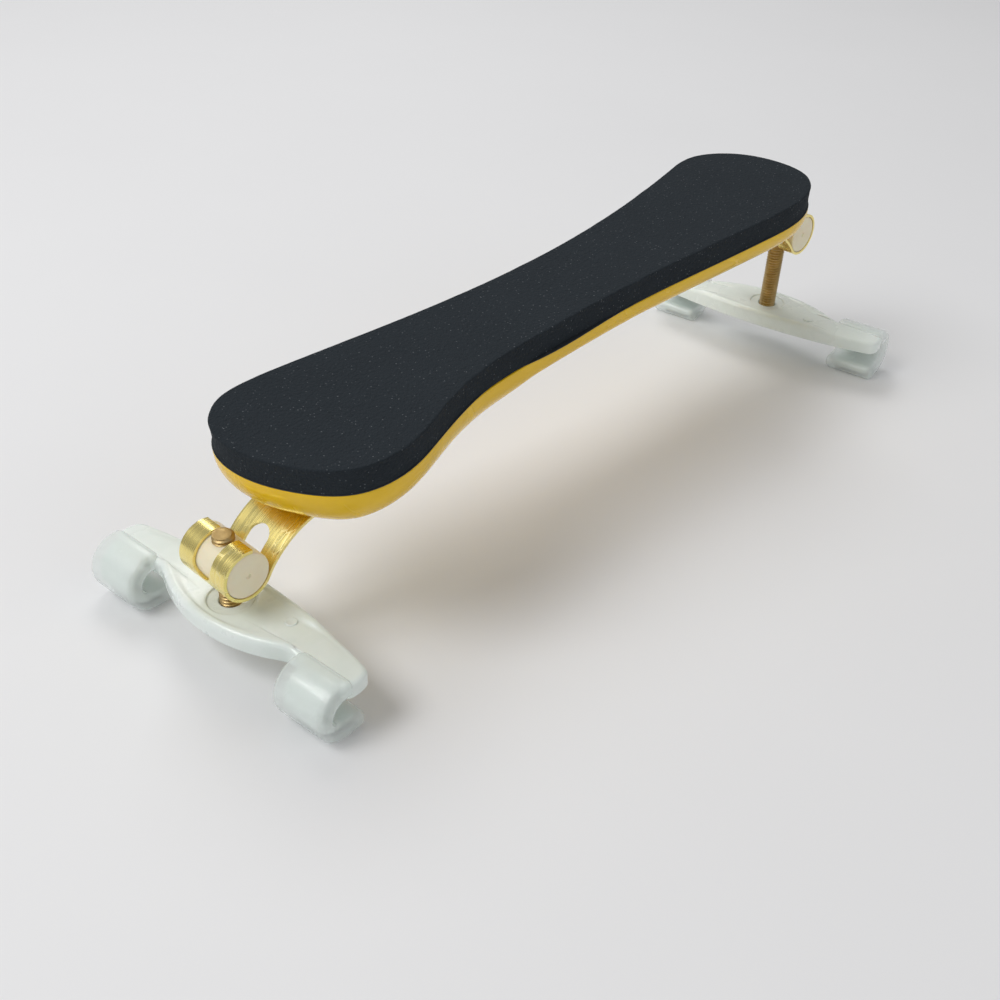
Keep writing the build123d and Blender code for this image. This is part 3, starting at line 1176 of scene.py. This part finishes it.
        x = path[:, 0, None] + out[:, 0, None] * t - self.claw_centre
        z = path[:, 1, None] + out[:, 1, None] * t + drop
        y = place + w
        return self.to_frame(np.dstack([x, y, z]))

    def section(self, a: np.ndarray, wide: float, thick: float,
                corner: float) -> tuple[np.ndarray, np.ndarray]:
        """Rounded rectangle: corner centres plus a circle of the corner's radius.

        Args:
            a: angles round the section.
            wide: half its width.
            thick: half its thickness.
            corner: corner radius.

        Returns:
            Its width and thickness coordinates.
        """
        c, s = np.cos(a), np.sin(a)
        return np.sign(c) * (wide - corner) + c * corner, np.sign(s) * (thick - corner) + s * corner

    def mark_rings(self) -> np.ndarray:
        """A low round mould mark: (radius, rise) pairs turned about its own middle.

        Returns:
            (rings, around, 3) frame points.
        """
        r = self.mark_radius
        top = self.height - self.hollow
        profile = np.array([(r, -0.3), (r, 0.02), (r * 0.9, 0.12), (r * 0.72, 0.13),
                            (r * 0.6, 0.05), (r * 0.1, 0.04)])
        a = round_angles(40)
        x = self.mark_place[0] + profile[:, 0, None] * np.cos(a)
        y = -self.side * self.mark_place[1] + profile[:, 0, None] * np.sin(a)
        return self.to_frame(np.dstack([x, y, np.broadcast_to(top + profile[:, 1, None], x.shape)]))

    def build(self) -> None:
        """Makes the plate, its mould mark, its two hard claws and their sleeves."""
        name, body = self.end.value, f"{self.end.value}_foot"
        plate = surface(f"{name}_foot_plate", self.plate_rings(), wrap=True)
        place_piece(plate, body, "foot", MILKY, f"{name}_foot")
        mark = surface(f"{name}_mould_mark", self.mark_rings())
        place_piece(mark, body, "foot", MILKY)
        for hand in Hand:
            way = self.side if hand is Hand.NECK else -self.side
            place = way * self.claw_place
            hard = self.hook_rings(place, self.core_width, -self.clearance, self.core_over,
                                   self.claw_tip, self.core_corner)
            claw = surface(f"{name}_{hand.value}_claw", hard)
            place_piece(claw, body, "foot", MILKY)
            wall = self.sleeve_wall - self.clearance
            soft = self.hook_rings(place, self.claw_width + 2 * wall, wall, self.sleeve_over,
                                   self.claw_tip + self.sleeve_tip, self.sleeve_corner)
            sleeve = surface(f"{name}_{hand.value}_soft_sleeve", soft)
            place_piece(sleeve, body, "sleeve", CLEAR, f"{name}_{hand.value}_sleeve")


# ---- studio ----


def towards(azimuth: float, elevation: float) -> Vector:
    """Direction from the rest to a viewpoint.

    Args:
        azimuth: degrees about the vertical, where 0 is seen along +Y.
        elevation: degrees above the floor.

    Returns:
        A unit vector.
    """
    a, e = math.radians(azimuth), math.radians(elevation)
    return Vector((math.sin(a) * math.cos(e), -math.cos(a) * math.cos(e), math.sin(e)))


@dataclass(frozen=True)
class SoftLight:
    """A square area light that points at the middle of the rest."""

    name: str
    azimuth: float
    elevation: float
    distance: float
    size: float
    power: float

    def build(self) -> None:
        """Adds the light to the scene."""
        back = towards(self.azimuth, self.elevation)
        data = bpy.data.lights.new(self.name, "AREA")
        data.size = self.size
        data.energy = self.power
        lamp = bpy.data.objects.new(self.name, data)
        lamp.location = back * self.distance
        lamp.rotation_euler = back.to_track_quat("Z", "Y").to_euler()
        bpy.context.scene.collection.objects.link(lamp)


LIGHTS = (
    SoftLight("key", azimuth=-112.0, elevation=50.0, distance=0.9, size=0.4, power=3.5),
    SoftLight("fill", azimuth=15.0, elevation=36.0, distance=1.0, size=0.6, power=0.9),
    SoftLight("back", azimuth=145.0, elevation=52.0, distance=0.9, size=0.4, power=1.9),
)


@dataclass
class Studio:
    """Floor, lights and camera."""

    azimuth: float = -47.63
    elevation: float = 36.25
    roll: float = 2.46
    camera_place: tuple[float, float, float] = (-0.17334, -0.14366, 0.15424)
    lens: float = 43.94
    sensor: float = 36.0
    floor_half: float = 3.0
    world: float = 0.36

    def add_floor(self) -> None:
        """A pale level floor that the claws stand on."""
        h = self.floor_half
        mesh = bpy.data.meshes.new("floor")
        mesh.from_pydata([(-h, -h, 0), (h, -h, 0), (h, h, 0), (-h, h, 0)], [], [(0, 1, 2, 3)])
        floor = bpy.data.objects.new("floor", mesh)
        bpy.context.scene.collection.objects.link(floor)
        dress(floor, FLOOR)
        self.open_from_below(floor.data.materials[0])

    def open_from_below(self, material: bpy.types.Material) -> None:
        """Lets the underside of the rest be seen through the floor's back.

        Args:
            material: the floor's material.
        """
        tree = material.node_tree
        side = tree.nodes.new("ShaderNodeNewGeometry")
        clear = tree.nodes.new("ShaderNodeBsdfTransparent")
        either = tree.nodes.new("ShaderNodeMixShader")
        tree.links.new(side.outputs["Backfacing"], either.inputs[0])
        tree.links.new(tree.nodes["Principled BSDF"].outputs[0], either.inputs[1])
        tree.links.new(clear.outputs[0], either.inputs[2])
        tree.links.new(either.outputs[0], tree.nodes["Material Output"].inputs["Surface"])

    def add_camera(self) -> None:
        """The camera, aimed by azimuth, elevation and roll."""
        a, r = math.radians(self.azimuth), math.radians(self.roll)
        back = towards(self.azimuth, self.elevation)
        level = Vector((math.cos(a), math.sin(a), 0.0))
        rise = back.cross(level)
        right = level * math.cos(r) + rise * math.sin(r)
        up = back.cross(right)
        data = bpy.data.cameras.new("camera")
        data.lens = self.lens
        data.sensor_width = self.sensor
        data.clip_start = 0.01
        camera = bpy.data.objects.new("camera", data)
        turned = Matrix((right, up, back)).transposed().to_4x4()
        camera.matrix_world = Matrix.Translation(Vector(self.camera_place)) @ turned
        bpy.context.scene.collection.objects.link(camera)
        bpy.context.scene.camera = camera

    def build(self) -> None:
        """Sets up the whole studio."""
        self.add_floor()
        self.add_camera()
        for light in LIGHTS:
            light.build()
        bpy.context.scene.view_settings.view_transform = "Standard"
        scene_world = bpy.data.worlds.new("studio")
        bpy.context.scene.world = scene_world
        scene_world.use_nodes = True
        sky = scene_world.node_tree.nodes["Background"]
        sky.inputs["Color"].default_value = (1.0, 1.0, 1.0, 1.0)
        sky.inputs["Strength"].default_value = self.world


def main() -> None:
    """Builds the looks in order."""
    logging.basicConfig(level=logging.INFO, format="%(name)s: %(message)s")
    build_effects()
    dress_nodes({
        "foam": FOAM, "film": FILM, "base": YELLOW, "strip": GOLD, "nylon": NYLON, "rod": ROD,
        "foot": MILKY, "sleeve": CLEAR, "steel": STEEL, "insert": INSERT,
    })
    PaddedBase(Bar()).build()
    for end in End:
        Barrel(end).build()
        Stud(end, ROD_TIP[end]).build()
        Foot(end, FOOT_TURN[end]).build()
    Studio().build()


if __name__ == "__main__":
    main()
